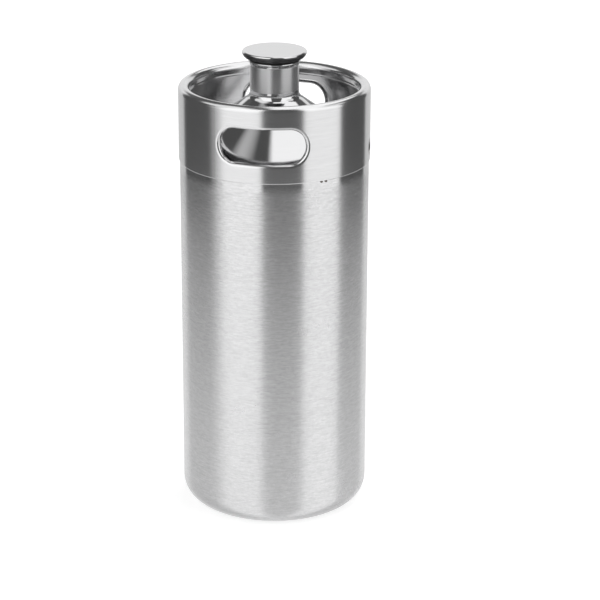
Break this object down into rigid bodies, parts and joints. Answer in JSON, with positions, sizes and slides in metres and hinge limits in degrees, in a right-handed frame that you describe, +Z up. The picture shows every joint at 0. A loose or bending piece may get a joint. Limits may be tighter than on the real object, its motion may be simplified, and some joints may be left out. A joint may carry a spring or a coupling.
{
  "type": "mini keg",
  "caption": "Stainless steel mini keg: a welded vessel with a rolled handle ring round its neck and a screw cap that seals on a flat gasket.",
  "frame": {"origin": "middle of the foot, on the floor that the keg stands on", "axes": "+Z up along the keg's axis; -Y towards the hand hole at the front of the picture; +X towards the drain hole at the picture's right"},
  "size_m": [0.135, 0.135, 0.335],
  "materials": {
    "brushed_sheet": "brushed along the ring, satin on the body",
    "polished_steel": "polished",
    "weld_steel": "as welded, dressed on the outside",
    "gasket": "matt black silicone"
  },
  "bodies": {
    "keg": {"body_tube": "brushed_sheet", "body_seam_weld": "weld_steel", "base_dish": "brushed_sheet", "base_weld": "weld_steel", "shoulder_dome": "polished_steel", "shoulder_weld": "weld_steel", "neck_socket": "polished_steel", "neck_weld": "weld_steel", "handle_ring": "brushed_sheet", "ring_weld": "weld_steel"},
    "gasket": {"cap_gasket": "gasket"},
    "cap": {"cap_crown": "polished_steel", "cap_plate": "polished_steel", "cap_plug": "polished_steel"}
  },
  "joints": [
    {"name": "cap_lift", "type": "slide", "parent": "keg", "child": "gasket", "axis": [0, 0, 1], "range_m": [0, 0.016]},
    {"name": "cap_turn", "type": "hinge", "parent": "gasket", "child": "cap", "pos_m": [0, 0, 0.3287], "axis": [0, 0, 1], "range_deg": [0, 1440]}
  ],
  "couplings": [
    {"joint": "cap_lift", "follows": "cap_turn", "m_per_rad": 0.0006366}
  ]
}
